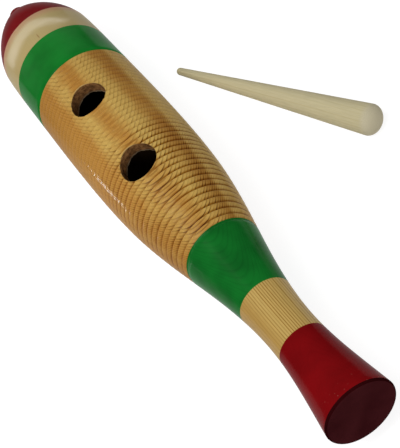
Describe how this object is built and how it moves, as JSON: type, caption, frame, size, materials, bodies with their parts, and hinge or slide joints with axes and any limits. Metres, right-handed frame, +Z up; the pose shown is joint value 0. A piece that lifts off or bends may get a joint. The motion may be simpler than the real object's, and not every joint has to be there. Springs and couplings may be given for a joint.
{
  "type": "guiro",
  "caption": "Fish-shaped wooden guiro: a hollow turned body with a ribbed belly to scrape, finger holes, painted bands and a plugged nose, with a loose tapered scraper stick.",
  "frame": {"origin": "on the table, under the middle of the bounding box of the fish and its stick", "axes": "+X along the fish towards its nose, +Z up, out of the finger holes; the stick lies on the -Y side"},
  "size_m": [0.4024, 0.1464, 0.0664],
  "materials": {
    "lacquered_pine": "clear lacquer over pine, with green bands by the rasp and a red tail",
    "red_lacquer": "satin red paint on pine",
    "raw_softwood": "sanded, no lacquer"
  },
  "bodies": {
    "fish": {"rasp_body": "lacquered_pine", "nose_plug": "red_lacquer"},
    "stick": {"scraper_stick": "raw_softwood"}
  },
  "joints": [
    {"name": "stick_lift", "type": "slide", "parent": "fish", "child": "stick", "axis": [0, 0, 1], "range_m": [0, 0.12]}
  ]
}
